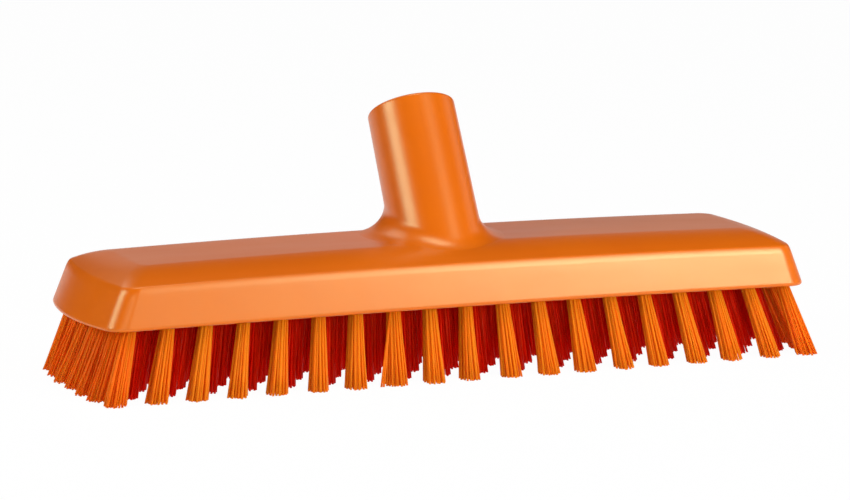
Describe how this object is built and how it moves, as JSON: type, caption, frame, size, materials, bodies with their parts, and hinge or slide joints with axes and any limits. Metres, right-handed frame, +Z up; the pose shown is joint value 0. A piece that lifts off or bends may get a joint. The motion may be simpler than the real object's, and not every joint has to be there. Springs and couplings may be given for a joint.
{
  "type": "water-fed scrub brush head",
  "caption": "Scrub brush head: a long moulded block with a tilted handle socket, a water passage through it, and splayed bristle tufts underneath.",
  "frame": {"origin": "centre of the footprint, on the surface that the bristle tips stand on", "axes": "+X along the block, +Y towards the back, where the handle socket leans, +Z up from the bristle tips"},
  "size_m": [0.2721, 0.0774, 0.0936],
  "materials": {
    "moulding": "satin orange polypropylene, injection moulded",
    "filament": "translucent orange polyester filament"
  },
  "bodies": {
    "root": {"brush_block": "moulding", "tuft_strip_01": "filament", "tuft_strip_02": "filament", "tuft_strip_03": "filament", "tuft_strip_04": "filament", "tuft_strip_05": "filament", "tuft_strip_06": "filament", "tuft_strip_07": "filament", "tuft_strip_08": "filament", "tuft_strip_09": "filament", "tuft_strip_10_front": "filament", "tuft_strip_10_back": "filament", "tuft_strip_11": "filament", "tuft_strip_12": "filament", "tuft_strip_13": "filament", "tuft_strip_14": "filament", "tuft_strip_15": "filament", "tuft_strip_16": "filament", "tuft_strip_17": "filament", "tuft_strip_18": "filament", "tuft_strip_19": "filament"}
  },
  "joints": []
}
